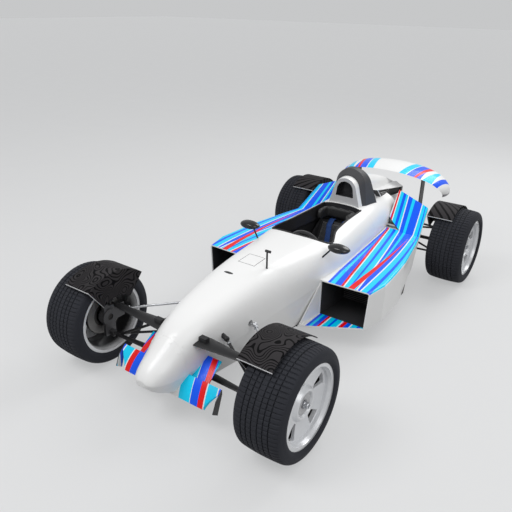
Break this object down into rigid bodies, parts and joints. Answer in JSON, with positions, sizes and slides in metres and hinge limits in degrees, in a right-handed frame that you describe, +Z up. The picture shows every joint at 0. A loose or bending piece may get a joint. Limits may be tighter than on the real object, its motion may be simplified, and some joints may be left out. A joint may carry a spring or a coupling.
{
  "type": "open wheel racing car",
  "caption": "White single seater open wheel racing car with blue, cyan and red bands, wings, side pods, an open cockpit and steered front wheels.",
  "frame": {"origin": "centre of the car's bounding box on the ground", "axes": "+Z up, +Y to the tail, +X to the car's left"},
  "size_m": [1.8508, 3.458, 0.9906],
  "materials": {
    "white_body": "gloss white paint over composite",
    "striped_panel": "gloss white paint with blue, cyan and red bands",
    "dark_composite": "dark grey composite",
    "cooling_core": "dark finned core",
    "cast_metal": "cast grey",
    "steel": "plated bar",
    "seat_shell": "black composite shell",
    "padding": "black grip and pad",
    "black_plastic": "black",
    "red_lens": "red lens",
    "wheel_metal": "satin silver",
    "tyre": "dark rubber with road tread",
    "brake_steel": "ground disc"
  },
  "bodies": {
    "chassis": {"tub": "white_body", "nose_cone": "white_body", "front_wing": "striped_panel", "sidepod_left": "striped_panel", "sidepod_right": "striped_panel", "radiators": "cooling_core", "floor": "dark_composite", "engine_cover": "white_body", "roll_hoop": "dark_composite", "engine": "cast_metal", "gearbox": "cast_metal", "rear_wing": "striped_panel", "rear_wing_posts": "dark_composite", "rear_uprights": "cast_metal", "rear_cowls": "dark_composite", "front_arms": "dark_composite", "rear_arms": "dark_composite", "dashboard": "dark_composite", "steering_column": "steel", "seat": "seat_shell", "headrest": "padding", "mirrors": "dark_composite", "antenna": "black_plastic", "tail_lamp": "red_lens", "exhausts": "steel", "flank_vents": "dark_composite"},
    "steering_wheel": {"steering_wheel": "padding"},
    "knuckle_left": {"front_upright_left": "cast_metal", "front_cowl_left": "dark_composite"},
    "knuckle_right": {"front_upright_right": "cast_metal", "front_cowl_right": "dark_composite"},
    "tie_rod_left": {"tie_rod_left": "steel"},
    "tie_rod_right": {"tie_rod_right": "steel"},
    "wheel_front_left": {"rim_front_left": "wheel_metal", "tyre_front_left": "tyre", "hub_front_left": "brake_steel"},
    "wheel_front_right": {"rim_front_right": "wheel_metal", "tyre_front_right": "tyre", "hub_front_right": "brake_steel"},
    "wheel_rear_left": {"rim_rear_left": "wheel_metal", "tyre_rear_left": "tyre", "hub_rear_left": "brake_steel"},
    "wheel_rear_right": {"rim_rear_right": "wheel_metal", "tyre_rear_right": "tyre", "hub_rear_right": "brake_steel"}
  },
  "joints": [
    {"name": "steering_turn", "type": "hinge", "parent": "chassis", "child": "steering_wheel", "pos_m": [0, 0.019, 0.52], "axis": [0, 0.9703, 0.2419], "range_deg": [-120, 120]},
    {"name": "steer_left", "type": "hinge", "parent": "chassis", "child": "knuckle_left", "pos_m": [0.622, -1.381, 0.3248], "axis": [0, 0, 1], "range_deg": [-15, 15]},
    {"name": "tie_rod_left_pivot", "type": "hinge", "parent": "knuckle_left", "child": "tie_rod_left", "pos_m": [0.622, -1.276, 0.352], "axis": [0, 0, 1], "range_deg": [-15, 15]},
    {"name": "steer_right", "type": "hinge", "parent": "chassis", "child": "knuckle_right", "pos_m": [-0.622, -1.381, 0.3248], "axis": [0, 0, 1], "range_deg": [-15, 15]},
    {"name": "tie_rod_right_pivot", "type": "hinge", "parent": "knuckle_right", "child": "tie_rod_right", "pos_m": [-0.622, -1.276, 0.352], "axis": [0, 0, 1], "range_deg": [-15, 15]},
    {"name": "wheel_front_left_spin", "type": "hinge", "parent": "knuckle_left", "child": "wheel_front_left", "pos_m": [0.7519, -1.381, 0.3248], "axis": [1, 0, 0], "continuous": true},
    {"name": "wheel_front_right_spin", "type": "hinge", "parent": "knuckle_right", "child": "wheel_front_right", "pos_m": [-0.7519, -1.381, 0.3248], "axis": [1, 0, 0], "continuous": true},
    {"name": "wheel_rear_left_spin", "type": "hinge", "parent": "chassis", "child": "wheel_rear_left", "pos_m": [0.7715, 1.269, 0.3209], "axis": [1, 0, 0], "continuous": true},
    {"name": "wheel_rear_right_spin", "type": "hinge", "parent": "chassis", "child": "wheel_rear_right", "pos_m": [-0.7715, 1.269, 0.3209], "axis": [1, 0, 0], "continuous": true}
  ],
  "couplings": [
    {"joint": "steer_left", "follows": "steering_turn", "ratio": 0.125},
    {"joint": "tie_rod_left_pivot", "follows": "steering_turn", "ratio": -0.125},
    {"joint": "steer_right", "follows": "steering_turn", "ratio": 0.125},
    {"joint": "tie_rod_right_pivot", "follows": "steering_turn", "ratio": -0.125}
  ]
}
